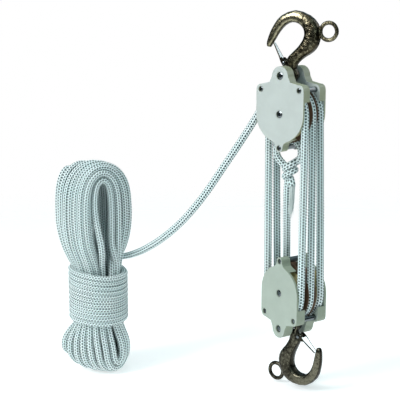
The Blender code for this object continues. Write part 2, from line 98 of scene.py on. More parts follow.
# lamps: name, place, width and height in metres, watts, colour
AIM = (-0.05, 0, -0.2)
LAMPS = [("key", (-0.50, -1.45, 0.70), (0.6, 0.8), 19, (1, 1, 1)),
         ("top", (-0.1, -0.3, 1.3), (1.0, 1.0), 6, (1, 1, 1)),
         ("side", (1.2, -1.0, 0.3), (0.4, 1.2), 3, (0.85, 1.0, 1.0)),
         ("rim", (0.5, 1.3, 0.4), (0.8, 0.8), 4, (1, 1, 1))]
WHITE_FLOOR = 0.4                    # the floor's own light, which keeps it white
FLOOR_HALF = 3.0                     # m
FLOOR_FADE = (0.55, 1.5)             # distances over which the floor fades out, m
SKY_STRENGTH = 0.55
# the sky's colours by height from 0 below to 1 above: a dark band, with pale light over it
SKY = [(0.34, (0.30, 0.36, 0.37)), (0.42, (0.03, 0.05, 0.055)), (0.62, (0.04, 0.065, 0.07)),
       (0.74, (0.50, 0.76, 0.80)), (1.0, (0.80, 0.97, 1.0))]


# ------------------------------------------------------------------- camera
def camera():
    cam = bpy.data.cameras.new("camera")
    cam.sensor_width = SENSOR
    cam.lens = CAMERA_LENS
    cam.clip_start = 0.01
    obj = link_object("camera", cam)
    obj.location = CAMERA_AT
    obj.rotation_euler = (math.pi / 2 - CAMERA_DOWN, 0, CAMERA_TURN)
    bpy.context.scene.camera = obj


# ------------------------------------------------------------- small helpers
def link_object(name, data):
    obj = bpy.data.objects.new(name, data)
    bpy.context.scene.collection.objects.link(obj)
    return obj


def add_mesh(name, verts, faces, material, body):
    mesh = bpy.data.meshes.new(name)
    mesh.from_pydata([tuple(v) for v in verts], [], [tuple(f) for f in faces])
    mesh.materials.append(material)
    mesh.shade_smooth()
    obj = link_object(name, mesh)
    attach(obj, body)
    return obj


def catmull(points, step):
    """Points about step apart on a centripetal Catmull-Rom curve through points."""
    p = np.asarray(points, float)
    p = np.vstack([2 * p[0] - p[1], p, 2 * p[-1] - p[-2]])
    out = []
    for i in range(1, len(p) - 2):
        p0, p1, p2, p3 = p[i - 1:i + 3]
        t1 = max(np.linalg.norm(p1 - p0), 1e-9) ** 0.5
        t2 = t1 + max(np.linalg.norm(p2 - p1), 1e-9) ** 0.5
        t3 = t2 + max(np.linalg.norm(p3 - p2), 1e-9) ** 0.5
        n = max(2, int(np.linalg.norm(p2 - p1) / step))
        for t in np.linspace(t1, t2, n, endpoint=False):
            a1 = (t1 - t) / t1 * p0 + t / t1 * p1
            a2 = (t2 - t) / (t2 - t1) * p1 + (t - t1) / (t2 - t1) * p2
            a3 = (t3 - t) / (t3 - t2) * p2 + (t - t2) / (t3 - t2) * p3
            b1 = (t2 - t) / t2 * a1 + t / t2 * a2
            b2 = (t3 - t) / (t3 - t1) * a2 + (t - t1) / (t3 - t1) * a3
            out.append((t2 - t) / (t2 - t1) * b1 + (t - t1) / (t2 - t1) * b2)
    out.append(p[-2])
    return np.array(out)


def resample(points, step):
    """The same line with points exactly step apart, or a little under."""
    p = np.asarray(points, float)
    s = np.concatenate([[0], np.cumsum(np.linalg.norm(np.diff(p, axis=0), axis=1))])
    n = max(2, int(math.ceil(s[-1] / step)) + 1)
    at = np.linspace(0, s[-1], n)
    return np.stack([np.interp(at, s, p[:, k]) for k in range(3)], axis=1)


def soften(points, rounds):
    """Rounds off the line's corners; its ends stay."""
    p = np.array(points, float)
    for _ in range(rounds):
        p[1:-1] = 0.25 * p[:-2] + 0.5 * p[1:-1] + 0.25 * p[2:]
    return p


def transport(p):
    """Two unit vectors across the line at each point, turning as little as they can."""
    t = np.gradient(p, axis=0)
    t /= np.linalg.norm(t, axis=1)[:, None]
    side = np.cross(t[0], (0.0, 0.0, 1.0))
    if np.linalg.norm(side) < 0.1:
        side = np.cross(t[0], (0.0, 1.0, 0.0))
    n = np.empty_like(p)
    n[0] = side / np.linalg.norm(side)
    for i in range(1, len(p)):
        v = n[i - 1] - t[i] * n[i - 1].dot(t[i])
        n[i] = v / math.sqrt(v.dot(v))
    return n, np.cross(t, n)


def braid(name, points, radius, material, rings=4, per_column=4, flat=None):
    """Solid-braided rope along points: stitches raised in the mesh, its UV in stitches.

    radius gives the rope's radius at each of the points handed to it; flat gives
    the share to which the rope is squeezed along Z at each. Returns the rope and its
    centre line."""
    p = resample(points, STITCH / rings)
    count = len(p)
    n, b = transport(p)
    r = radius(p)
    sides = COLUMNS * per_column
    ang = np.arange(sides) / sides * TAU
    along = np.arange(count) / rings
    column = (np.arange(sides) / per_column)[None, :]
    across = np.abs((column % 1.0) * 2 - 1)              # 0 mid column, 1 in a groove
    odd = np.floor(column) % 2
    phase = (along[:, None] + 0.5 * odd + 0.4 * (1 - across)) % 1.0
    crown = (1 - across ** 2.2) * (0.55 + 0.45 * np.sin(math.pi * phase)) - 0.45
    row = np.floor(column + 0.5) % 2
    pit = np.cos(TAU * (along[:, None] + 0.5 * row)) * np.clip(2 * across - 1, 0, 1)
    radial = r[:, None] * (1 + 0.13 * crown - 0.09 * np.clip(pit, 0, 1))
    c, s = np.cos(ang)[None, :, None], np.sin(ang)[None, :, None]
    off = radial[..., None] * (c * n[:, None, :] + s * b[:, None, :])
    if flat is not None:
        off[..., 2] *= flat(p)[:, None]
    verts = (p[:, None, :] + off).reshape(-1, 3)
    caps = np.array([p[0], p[-1]])
    verts = np.vstack([verts, caps])
    i = np.arange(count - 1)[:, None] * sides
    j = np.arange(sides)[None, :]
    j2 = (j + 1) % sides
    quads = np.stack([i + j, i + j2, i + sides + j2, i + sides + j], axis=-1).reshape(-1, 4)
    jj = np.arange(sides)
    kk = (jj + 1) % sides
    last = (count - 1) * sides
    c0, c1 = len(verts) - 2, len(verts) - 1
    tri0 = np.stack([kk, jj, np.full(sides, c0)], axis=-1)
    tri1 = np.stack([last + jj, last + kk, np.full(sides, c1)], axis=-1)
    mesh = bpy.data.meshes.new(name)
    nq = len(quads)
    mesh.vertices.add(len(verts))
    mesh.vertices.foreach_set("co", verts.astype(np.float32).ravel())
    loops = np.concatenate([quads.ravel(), tri0.ravel(), tri1.ravel()]).astype(np.int32)
    mesh.loops.add(len(loops))
    mesh.loops.foreach_set("vertex_index", loops)
    starts = np.concatenate([np.arange(nq) * 4, nq * 4 + np.arange(2 * sides) * 3])
    mesh.polygons.add(len(starts))
    mesh.polygons.foreach_set("loop_start", starts.astype(np.int32))
    uv = mesh.uv_layers.new(name="braid")
    u0 = np.broadcast_to(j / per_column, (count - 1, sides))
    u1 = u0 + 1.0 / per_column
    v0 = np.broadcast_to(np.arange(count - 1)[:, None] / rings, (count - 1, sides))
    v1 = v0 + 1.0 / rings
    quad_uv = np.stack([np.stack([u0, v0], -1), np.stack([u1, v0], -1),
                        np.stack([u1, v1], -1), np.stack([u0, v1], -1)], axis=2)
    ends = np.full((2 * sides * 3, 2), 0.5)
    uv.data.foreach_set("uv", np.concatenate([quad_uv.reshape(-1, 2), ends])
                        .astype(np.float32).ravel())
    mesh.update(calc_edges=True)
    mesh.validate()
    mesh.materials.append(material)
    mesh.shade_smooth()
    return link_object(name, mesh), p


# ---------------------------------------------------------------- materials
class Nodes:
    """A Principled material built node by node."""

    def __init__(self, name):
        self.mat = bpy.data.materials.new(name)
        self.mat.use_nodes = True
        self.tree = self.mat.node_tree
        self.bsdf = self.tree.nodes["Principled BSDF"]

    def add(self, kind, **values):
        node = self.tree.nodes.new(kind)
        for key, value in values.items():
            setattr(node, key, value)
        return node

    def link(self, a, b):
        self.tree.links.new(a, b)

    def math(self, op, a, b=None, c=None):
        node = self.add("ShaderNodeMath", operation=op)
        for k, v in enumerate((a, b, c)):
            if v is None:
                continue
            if isinstance(v, (int, float)):
                node.inputs[k].default_value = v
            else:
                self.link(v, node.inputs[k])
        return node.outputs[0]

    def noise(self, scale, detail, rough, distortion=0.0):
        node = self.add("ShaderNodeTexNoise")
        node.inputs["Scale"].default_value = scale
        node.inputs["Detail"].default_value = detail
        node.inputs["Roughness"].default_value = rough
        node.inputs["Distortion"].default_value = distortion
        self.link(self.coords(), node.inputs["Vector"])
        return node.outputs["Fac"]

    def coords(self):
        return self.add("ShaderNodeTexCoord").outputs["Object"]

    def mix(self, fac, a, b):
        node = self.add("ShaderNodeMix", data_type="RGBA")
        for socket, v in ((node.inputs[0], fac), (node.inputs[6], a), (node.inputs[7], b)):
            if isinstance(v, tuple):
                socket.default_value = (*v, 1.0)
            else:
                self.link(v, socket)
        return node.outputs[2]

    def facing(self, place):
        """0 to 1: how squarely the surface faces along the pins of a block or hook."""
        geo = self.add("ShaderNodeNewGeometry")
        dot = self.add("ShaderNodeVectorMath", operation="DOT_PRODUCT")
        self.link(geo.outputs["Normal"], dot.inputs[0])
        dot.inputs[1].default_value = place.to_3x3() @ Vector((0, 1, 0))
        return self.math("ABSOLUTE", dot.outputs["Value"])

    def smooth(self, value, low, high, to_low=0.0, to_high=1.0):
        node = self.add("ShaderNodeMapRange", interpolation_type="SMOOTHSTEP")
        self.link(value, node.inputs["Value"])
        for key, v in (("From Min", low), ("From Max", high), ("To Min", to_low),
                       ("To Max", to_high)):
            node.inputs[key].default_value = v
        return node.outputs["Result"]

    def bump(self, height, strength, distance):
        node = self.add("ShaderNodeBump")
        node.inputs["Strength"].default_value = strength
        node.inputs["Distance"].default_value = distance
        self.link(height, node.inputs["Height"])
        self.link(node.outputs["Normal"], self.bsdf.inputs["Normal"])

    def set(self, **values):
        for key, v in values.items():
            socket = self.bsdf.inputs[key.replace("_", " ")]
            if isinstance(v, tuple):
                socket.default_value = (*v, 1.0) if len(v) == 3 and socket.type == "RGBA" else v
            elif isinstance(v, (int, float)):
                socket.default_value = v
            else:
                self.link(v, socket)
        return self.mat


def rope_material():
    m = Nodes("rope_braid")
    uv = m.add("ShaderNodeUVMap", uv_map="braid")
    xyz = m.add("ShaderNodeSeparateXYZ")
    m.link(uv.outputs[0], xyz.inputs[0])
    column, along = xyz.outputs[0], xyz.outputs[1]
    across = m.math("ABSOLUTE", m.math("MULTIPLY_ADD", m.math("FRACT", column), 2.0, -1.0))
    odd = m.math("MODULO", m.math("FLOOR", column), 2.0)
    phase = m.math("MULTIPLY_ADD", odd, 0.5, along)
    phase = m.math("FRACT", m.math("MULTIPLY_ADD", m.math("SUBTRACT", 1.0, across), 0.4, phase))
    edge = m.math("ABSOLUTE", m.math("MULTIPLY_ADD", phase, 2.0, -1.0))
    row = m.math("MODULO", m.math("FLOOR", m.math("ADD", column, 0.5)), 2.0)
    beat = m.math("FRACT", m.math("MULTIPLY_ADD", row, 0.5, along))
    beat = m.math("ABSOLUTE", m.math("MULTIPLY_ADD", beat, 2.0, -1.0))
    # Painted shade: the grooves between columns, the joints between stitches and the pits along
    # the grooves are painted dark teal, where shade falls in the braid.
    groove = m.smooth(m.math("MULTIPLY_ADD", row, 0.10, across), 0.38, 0.52)
    joint = m.smooth(edge, 0.60, 0.95)
    pit_shade = m.math("MULTIPLY", groove, m.smooth(beat, 0.35, 0.49))
    groove_shade = m.math("MAXIMUM", m.math("MULTIPLY", joint, 0.20),
                 m.math("MAXIMUM", m.math("MULTIPLY", groove, 0.06), pit_shade))
    fibre = m.noise(900.0, 3.0, 0.6)
    tone = m.noise(35.0, 2.0, 0.5)
    clean = m.mix(tone, (0.77, 0.95, 0.95), (0.94, 1.0, 1.0))
    # The clean white turns dark teal under the painted groove shade.
    colour = m.mix(groove_shade, clean, (0.006, 0.028, 0.034))
    height = m.math("MULTIPLY_ADD", fibre, 0.18,
                    m.math("SUBTRACT", 1.0, m.math("MAXIMUM", groove_shade, m.math("POWER", across, 2.0))))
    m.bump(height, 0.55, 0.0007)
    return m.set(Base_Color=colour, Roughness=0.72, Sheen_Weight=0.25, Specular_IOR_Level=0.35)


def fibre_material():
    m = Nodes("rope_fibre")
    tone = m.noise(300.0, 3.0, 0.6)
    m.bump(m.noise(2500.0, 2.0, 0.5), 0.2, 0.0003)
    return m.set(Base_Color=m.mix(tone, (0.55, 0.63, 0.62), (0.80, 0.85, 0.83)), Roughness=0.75,
                 Sheen_Weight=0.2)


# head recesses in each case: x, z and radius in the block's frame, mm
RECESSES = [(0, 0, 4.2), (0, 41.4, 4.4), (0, -36.7, 3.2), (25, 26.5, 3.2), (-25, 26.5, 3.2)]


def in_frame(m, place):
    """Position in a block's or hook's own frame, as X, Y and Z sockets."""
    mapping = m.add("ShaderNodeMapping", vector_type="TEXTURE")
    m.link(m.coords(), mapping.inputs["Vector"])
    mapping.inputs["Location"].default_value = place.to_translation()
    mapping.inputs["Rotation"].default_value = place.to_euler()
    xyz = m.add("ShaderNodeSeparateXYZ")
    m.link(mapping.outputs[0], xyz.inputs[0])
    return xyz.outputs


def nylon_material(name, block, face_rgb, side_shade_rgb):
    """Moulded nylon, with painted shade: the side walls darker and yellower, and near-black in
    the recesses round the heads.
    """
    m = Nodes(name)
    x, _, z = in_frame(m, block)
    nearest = None
    for cx, cz, r in RECESSES:
        dx = m.math("SUBTRACT", x, cx * MM)
        dz = m.math("SUBTRACT", z, cz * MM)
        dist = m.math("SQRT", m.math("MULTIPLY_ADD", dx, dx, m.math("MULTIPLY", dz, dz)))
        dist = m.math("DIVIDE", dist, r * MM)
        nearest = dist if nearest is None else m.math("MINIMUM", nearest, dist)
    # Painted shade: the side walls are painted darker and yellower than the faces, by how
    # squarely the surface faces along the pins.
    facing = m.smooth(m.facing(block), 0.3, 0.8)
    cloud = m.noise(45.0, 3.0, 0.6)
    streak = m.noise(260.0, 2.0, 0.5)
    side = m.mix(m.math("MULTIPLY_ADD", streak, 0.4, m.math("MULTIPLY", cloud, 0.6)),
                 side_shade_rgb, tuple(0.62 * c for c in side_shade_rgb))
    face = m.mix(m.smooth(cloud, 0.3, 0.7), face_rgb, tuple(0.92 * c for c in face_rgb))
    colour = m.mix(facing, side, face)
    # Painted shade: near-black inside the head recesses, and a faint ring of it round them.
    recess_shade = m.smooth(nearest, 0.86, 0.98, 0.92, 0.0)
    recess_rim_shade = m.smooth(nearest, 1.0, 1.5, 0.12, 0.0)
    colour = m.mix(m.math("MAXIMUM", recess_shade, recess_rim_shade), colour, (0.03, 0.035, 0.035))
    fine = m.noise(1400.0, 2.0, 0.5)
    m.bump(fine, 0.06, 0.0004)
    rough = m.smooth(cloud, 0.2, 0.8, 0.36, 0.48)
    return m.set(Base_Color=colour, Roughness=rough, Subsurface_Weight=0.1,
                 Subsurface_Radius=(0.004, 0.004, 0.003), Subsurface_Scale=0.5)


def plain_nylon(name, rgb, dark):
    m = Nodes(name)
    cloud = m.noise(70.0, 4.0, 0.6)
    fine = m.noise(1500.0, 2.0, 0.5)
    m.bump(fine, 0.08, 0.0004)
    return m.set(Base_Color=m.mix(cloud, rgb, dark), Roughness=0.45)


def bronze_material(name, light, dark, hook):
    """Forged hook: bronze plate, dark and scaly along its back, brighter in random patches and on
    its flats, with painted dark reflections along its edges.
    """
    m = Nodes(name)
    x, _, z = in_frame(m, hook)
    scale = m.noise(330.0, 5.0, 0.70, distortion=0.4)
    broad = m.noise(38.0, 3.0, 0.5)
    spots = m.noise(760.0, 3.0, 0.6)
    back = m.smooth(m.math("MULTIPLY_ADD", z, -BACK_LEAN, x), BACK_FROM,
                    BACK_FROM + BACK_OVER)
    plate_tone_and_edge_reflection = m.math("MULTIPLY_ADD", broad, 0.35, scale)
    # Painted reflection: the edges that turn away from the pins' direction are painted dark, and
    # the flats that face along it stay brighter.
    edge = m.smooth(m.facing(hook), 0.25, 0.85, 1.0, 0.0)
    plate_tone_and_edge_reflection = m.math("MULTIPLY_ADD", edge, -0.30, m.math("MULTIPLY_ADD", back, -0.16, plate_tone_and_edge_reflection))
    mask = m.smooth(plate_tone_and_edge_reflection, 0.44, 0.74)
    colour = m.mix(mask, dark, light)
    rough = m.smooth(spots, 0.3, 0.8, 0.18, 0.34)
    relief = m.math("MULTIPLY", m.math("MULTIPLY_ADD", spots, 0.4, scale),
                    m.math("MULTIPLY_ADD", back, 0.75, 0.25))
    m.bump(relief, 0.45, 0.0006)
    return m.set(Base_Color=colour, Roughness=rough, Metallic=1.0)


def steel_material(name, rgb, rough, grain):
    m = Nodes(name)
    fine = m.noise(grain, 4.0, 0.6)
    m.bump(fine, 0.08, 0.0003)
    colour = m.mix(fine, rgb, tuple(0.8 * c for c in rgb))
    return m.set(Base_Color=colour, Roughness=m.smooth(fine, 0.2, 0.8, rough, rough + 0.14),
                 Metallic=1.0)


def latch_material(name, hook):
    """Bright pressed strip, with painted dark reflections along its edges and cheeks."""
    m = Nodes(name)
    x, y, z = in_frame(m, hook)
    px, pz = LATCH_PIVOT
    along = m.math("MULTIPLY_ADD", m.math("SUBTRACT", x, px), math.cos(LATCH_DIR),
                   m.math("MULTIPLY", m.math("SUBTRACT", z, pz), math.sin(LATCH_DIR)))
    half = m.smooth(along, *LATCH_TAPER, *LATCH_HALF)
    half.node.interpolation_type = "LINEAR"
    inset = m.math("SUBTRACT", half, m.math("ABSOLUTE", y))
    # Painted reflection: a near-black band along the strip's edges and cheeks.
    edge = m.smooth(inset, 0.8 * MM, 1.3 * MM, 1.0, 0.0)
    fine = m.noise(500.0, 3.0, 0.6)
    m.bump(fine, 0.06, 0.0003)
    bright = m.mix(fine, (0.78, 0.85, 0.87), (0.60, 0.68, 0.70))
    return m.set(Base_Color=m.mix(edge, bright, (0.03, 0.028, 0.02)), Roughness=0.3,
                 Metallic=1.0)


MATERIALS = {}


def make_materials():
    MATERIALS.update({
        "rope": rope_material(),
        "fibre": fibre_material(),
        "upper_case": nylon_material("upper_case_nylon", UPPER, (0.55, 0.595, 0.57),
                                     (0.46, 0.49, 0.34)),
        # The lower case is the same nylon as the upper, given darker colours: painted shade.
        "lower_case": nylon_material("lower_case_nylon_painted_shade", LOWER, (0.40, 0.46, 0.40),
                                     (0.36, 0.42, 0.32)),
        "sheave": plain_nylon("sheave_nylon", (0.50, 0.44, 0.20), (0.30, 0.25, 0.11)),
        "brown": plain_nylon("brown_nylon", (0.14, 0.075, 0.04), (0.06, 0.035, 0.02)),
        "bronze_upper": bronze_material("hook_bronze_upper", (0.31, 0.28, 0.185),
                                        (0.045, 0.037, 0.022), UPPER_HOOK),
        # The lower hook is the same bronze as the upper, at about half the brightness: painted
        # shade.
        "bronze_lower": bronze_material("hook_bronze_lower_painted_shade", (0.155, 0.145, 0.105),
                                        (0.030, 0.027, 0.020), LOWER_HOOK),
        "steel": steel_material("rivet_steel", (0.17, 0.19, 0.20), 0.13, 900.0),
        "latch_upper": latch_material("latch_steel_upper", UPPER_HOOK),
        "latch_lower": latch_material("latch_steel_lower", LOWER_HOOK),
        "spring": steel_material("spring_steel", (0.50, 0.49, 0.42), 0.2, 900.0),
    })


# --------------------------------------------------------------------- rope
def on_sheave(place, offset, angle, lower=False):
    """A point of the rope's centre line on a sheave, by its angle from the right side."""
    side = -1.0 if lower else 1.0
    return np.array(place @ Vector((side * PITCH_R * math.cos(angle), offset,
                                    PITCH_R * math.sin(angle))))


def reeving_path():
    """Rope from inside the upper front sheave to the knot's foot."""
    path = []

    def over(offset, start, end):
        for a in np.linspace(start, end, 25):
            path.append(on_sheave(UPPER, offset, a))

    def under(offset):
        for a in np.linspace(0, math.pi, 25):     # right, bottom, left
            path.append(on_sheave(LOWER, offset, a, lower=True))

    front, middle, rear = -SHEAVE_OFFSET, 0.0, SHEAVE_OFFSET
    over(front, LEAD_SPLIT, 0.0)
    under(front)
    over(middle, math.pi, 0.0)
    under(middle)
    over(rear, math.pi, 0.0)
    under(rear)
    return path


def knot_path():
    """Standing part, loop over the tab spacer and the turns, in the upper block's frame."""
    rise = [(-3.2, 0.6, -82), (-2.0, 0.4, -74), (-1.4, 0.2, -67), (-3.2, -0.8, -61)]
    loop = [(-9, -3, -55), (-15.2, -4, -47.5), (-16.2, -2.6, -39.5), (-11.8, -0.6, -32.8),
            (-5.5, 0, -29.6), (0, 0, -29.2), (5.5, 0, -29.6), (11.8, 0, -32.4),
            (15.2, 0, -39), (14.4, 0.5, -48)]
    turns = []
    for share in np.arange(15) / 14:              # one and three quarter turns, downwards
        a = math.radians(35) - TAU * 1.75 * share
        turns.append((0.4 + 6.8 * math.cos(a), 0.2 + 6.0 * math.sin(a),
                      -55.5 - 15.0 * share + 2.4 * math.cos(a)))
    tail = [(5.4, -4.2, -75.5), (6.2, -3.6, -80.0)]
    points = rise + loop + turns + tail
    return [np.array(UPPER @ (Vector(p) * MM)) for p in points]


def reeved_rope():
    """The falls, the turns round six sheaves and the becket knot: one rope."""
    path = reeving_path() + knot_path()
    dense = soften(resample(catmull(path, 0.002), 0.0015), 10)

    def radius(p):
        """Pulled thin inside the knot."""
        z = p[:, 2] - UPPER_AXLE_Z
        near = np.exp(-((z + 66 * MM) / (9 * MM)) ** 2) * (np.hypot(p[:, 0], p[:, 1]) < 14 * MM)
        return ROPE_R * (1 - 0.10 * near)

    obj = braid("rope_reeving", dense, radius, MATERIALS["rope"])[0]
    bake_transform(obj)
    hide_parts("becket_knot", "rope_fall_1", "rope_fall_2", "rope_fall_3", "rope_fall_4",
                "rope_fall_5", "rope_fall_6_becket", "rope_arc_upper_front",
                "rope_arc_upper_middle", "rope_arc_upper_rear", "rope_arc_lower_front",
                "rope_arc_lower_middle", "rope_arc_lower_rear")


# --------------------------------------------------------------------- hank
HANK = Vector((-0.205, -0.099, -0.4138))
HANK_YAW = math.radians(10)
WAIST = (62.0, 120.0)                # heights between which the rope is lashed, mm


def hank_to_row(points):
    """From (a along the stack, v towards the back, h up) in mm to the row frame."""
    p = np.asarray(points, float) * MM
    c, s = math.cos(HANK_YAW), math.sin(HANK_YAW)
    return np.stack([HANK.x + c * p[:, 0] - s * p[:, 1],
                     HANK.y + s * p[:, 0] + c * p[:, 1], HANK.z + p[:, 2]], axis=1)


# Each turn of the hank as (a, v) in mm: its front and back strands at mid height and, for
# the outer turns, in the fan below the lashing. Then the heights of its top and bottom.
OUTER_FRONT = [(14.5, -20), (9.5, -27), (3.0, -30.5), (-4.0, -31), (-11, -31), (-18, -31),
               (-25, -30.5), (-35, -29.5)]
OUTER_BACK = [(24.5, 0.5), (28.5, 8.5), (31, 18), (30, 27.5), (20, 32), (12, 32), (-10, 28),
              (-28, 6)]
FAN_FRONT = [(28.5, -7), (24, -15), (18, -22), (10, -27), (1, -29), (-9, -29.5), (-21, -28),
             (-34.5, -22)]
FAN_BACK = [(35, 5), (34.5, 14), (31, 22), (25, 28), (16, 30), (6, 30), (-6, 30), (-20, 28)]
INNER_FRONT = [(9, -23), (2, -23.5), (-5, -24), (-12, -24), (-19, -24), (-27, -20),
               (3, -16), (-4, -16.5), (-11, -16.5), (-18, -16.5), (-25, -13)]
INNER_BACK = [(19, 24), (12, 25), (5, 25), (-2, 25), (-9, 25), (-16, 25),
              (-7, 32), (-14, 32), (-21, 30), (-27, 24), (-22, 18)]
OUTER_TOP = [238, 244, 249, 251.5, 252.5, 252.5, 251, 247]
INNER_TOP = [243, 244, 245, 244, 243, 240, 234, 236, 236, 234, 230]
OUTER_LOW = [9, 5.5, 4.2, 4.2, 4.2, 5, 9, 18]
INNER_LOW = [12, 12, 12, 12, 13, 17, 18, 18, 18, 20, 22]

# heights that every turn passes, mm
FAN_ARCH, FAN_NECK, NECK, CROWN_FOOT, CROWN_ARCH = 34.0, 52, 155, 180, 203.0
LASHED_DOWN, LASHED_UP = (132, 105, 76), (76, 105, 130)
EYE = [(20, -14.5, 152), (17, -18.5, 182)]         # the outermost turn closes the eye


def fan_of(k, front, back):
    """Where a turn's two strands stand in the fan below the lashing."""
    if k < len(FAN_FRONT):
        return FAN_FRONT[k], FAN_BACK[k]
    return (front[0] * 1.12, front[1] * 0.85), (back[0] * 1.12, back[1] * 0.9)


def waist_of(front, back):
    """Where they stand under the lashing, squeezed together."""
    def squeeze(a, v, side):
        return a * 0.74, side * (3.5 + max(0.0, side * v - 12) * 0.86)

    inside = back[0] * 0.92, back[1] * 0.8 + 1
    return squeeze(*front, -1.0), squeeze(*back, 1.0) if back[1] > 14 else inside


def between(near, far, height):
    return 0.35 * near[0] + 0.65 * far[0], 0.35 * near[1] + 0.65 * far[1], height


def arch(start, end, foot, peak, count):
    """A rounded bend between two strands, which rises or drops from foot to peak."""
    out = []
    for a in np.linspace(0, math.pi, count):
        mix = (1 - math.cos(a)) / 2
        out.append((start[0] + (end[0] - start[0]) * mix, start[1] + (end[1] - start[1]) * mix,
                    foot - (foot - peak) * math.sin(a) ** 0.8))
    return out


def coil_turns():
    """Centre line of all turns of the hank before they settle, inner turns first, in mm."""
    turns = list(zip(OUTER_FRONT + INNER_FRONT, OUTER_BACK + INNER_BACK,
                     OUTER_TOP + INNER_TOP, OUTER_LOW + INNER_LOW))
    outer = len(OUTER_FRONT)
    path = []
    for k in [*reversed(range(outer, len(turns))), *range(outer)]:
        front, back, top, low = turns[k]
        waist_front, waist_back = waist_of(front, back)
        fan_front, fan_back = fan_of(k, front, back)
        path += [(*waist_back, h) for h in LASHED_DOWN]
        path += [between(waist_back, fan_back, FAN_NECK)]
        path += arch(fan_back, fan_front, FAN_ARCH, low, 7)
        path += [between(waist_front, fan_front, FAN_NECK)]
        path += [(*waist_front, h) for h in LASHED_UP]
        path += EYE if k == 0 else [between(waist_front, front, NECK), (*front, CROWN_FOOT)]
        path += arch(front, back, CROWN_ARCH, top, 9)
        path += [(*back, CROWN_FOOT), between(waist_back, back, NECK)]
    return path


# the hank's outside: (height, half length, half width, squareness) in mm
HULL = [(0, 22, 16, 0.7), (6, 33, 26, 0.55), (18, 40, 33, 0.45), (38, 43, 34, 0.4),
        (52, 37, 32, 0.5), (61, 26.5, 25.5, 1.0), (121, 26.5, 25.5, 1.0),
        (134, 30, 28, 0.6), (150, 34, 31, 0.5), (180, 38, 36, 0.35),
        (212, 38, 36, 0.35), (232, 36, 35, 0.35), (246, 33, 32, 0.4), (257, 29, 28, 0.5)]


# how the turns settle, in mm
GAP = 7.0                            # centre lines closer than this push apart
APART = 4                            # points along the rope that don't push each other
PUSH, LONGEST_PUSH = 0.32, 2.0       # share of a push that is followed, and its limit
STIFF = 0.3                          # how far each point's shift follows its neighbours'
KEPT = 0.985                         # share of the shift that lasts from round to round
SKIN = 3.6                           # the centre line's depth inside the hull
LOWEST, HIGHEST = 4.0, 252.5
BATCH = 600                          # points worked on together, which limits memory


def settle(points, rounds):
    """Lets the turns push each other apart inside the hank's outline, as slack rope does."""
    home = np.array(points, float)
    p = home.copy()
    hull = np.array(HULL, float)
    idx = np.arange(len(p))
    for _ in range(rounds):
        push = np.zeros_like(p)
        for start in range(0, len(p), BATCH):
            block = slice(start, min(start + BATCH, len(p)))
            d = p[block, None, :] - p[None, :, :]
            dist = np.sqrt((d ** 2).sum(-1)) + 1e-6
            near = (dist < GAP) & (np.abs(idx[block, None] - idx[None, :]) > APART)
            w = np.where(near, (GAP - dist) / dist, 0.0)
            push[block] = (d * w[..., None]).sum(1)
        size = np.linalg.norm(push, axis=1)
        push *= (np.minimum(size, LONGEST_PUSH) / np.maximum(size, 1e-6))[:, None]
        moved = p - home + PUSH * push
        moved[1:-1] += STIFF * (0.5 * (moved[:-2] + moved[2:]) - moved[1:-1])
        p = home + KEPT * moved
        half_a, half_v, square = (np.interp(p[:, 2], hull[:, 0], hull[:, k]) for k in (1, 2, 3))
        power = 2 / square
        q = (np.abs(p[:, 0] / (half_a - SKIN)) ** power
             + np.abs(p[:, 1] / (half_v - SKIN)) ** power) ** (1 / power)
        over = np.maximum(q, 1.0)
        p[:, 0] /= over
        p[:, 1] /= over
        p[:, 2] = np.clip(p[:, 2], LOWEST, HIGHEST)
    return p


def lean(points):
    """Above and below the lashing the turns lie a little to the left of it."""
    h = points[:, 2]
    free = np.clip(np.maximum((h - 122) / 35, (64 - h) / 20), 0, 1)
    points[:, :2] += free[:, None] * np.array([-2.7, -1.6])
    return points


LASH_TURNS, LASH_STEPS = 11.1, 36    # turns, and points to a turn
LASH_TOP, LASH_DROP = 126.5, 61.0    # height of the first turn, and from it to the last
LASH_HALF = (31.2, 29.8)


def lashing(start):
    """Turns round the waist, from the top down, dipping towards the right."""
    out = []
    for k in range(int(LASH_TURNS * LASH_STEPS) + 1):
        a = start - TAU * k / LASH_STEPS
        c, s = math.cos(a), math.sin(a)
        f = k / (LASH_TURNS * LASH_STEPS)
        h = LASH_TOP - LASH_DROP * f - 3.0 * c + 0.9 * s - (1 - f) * (2.6 * c + 1.5 * s)
        c = math.copysign(abs(c) ** 0.9, c)
        s = math.copysign(abs(s) ** 0.9, s)
        out.append((LASH_HALF[0] * c, LASH_HALF[1] * s, h))
    return out


# the lead's route from its sheave to the hank, mm
LEAD = [(-31.0, -14.3, -96.6), (-43.0, -18.5, -117.5), (-69.0, -29.0, -160.0),
        (-96.0, -38.5, -201.0), (-124.0, -47.5, -234.0), (-155.0, -58.5, -260.0),
        (-183.0, -68.5, -274.5)]


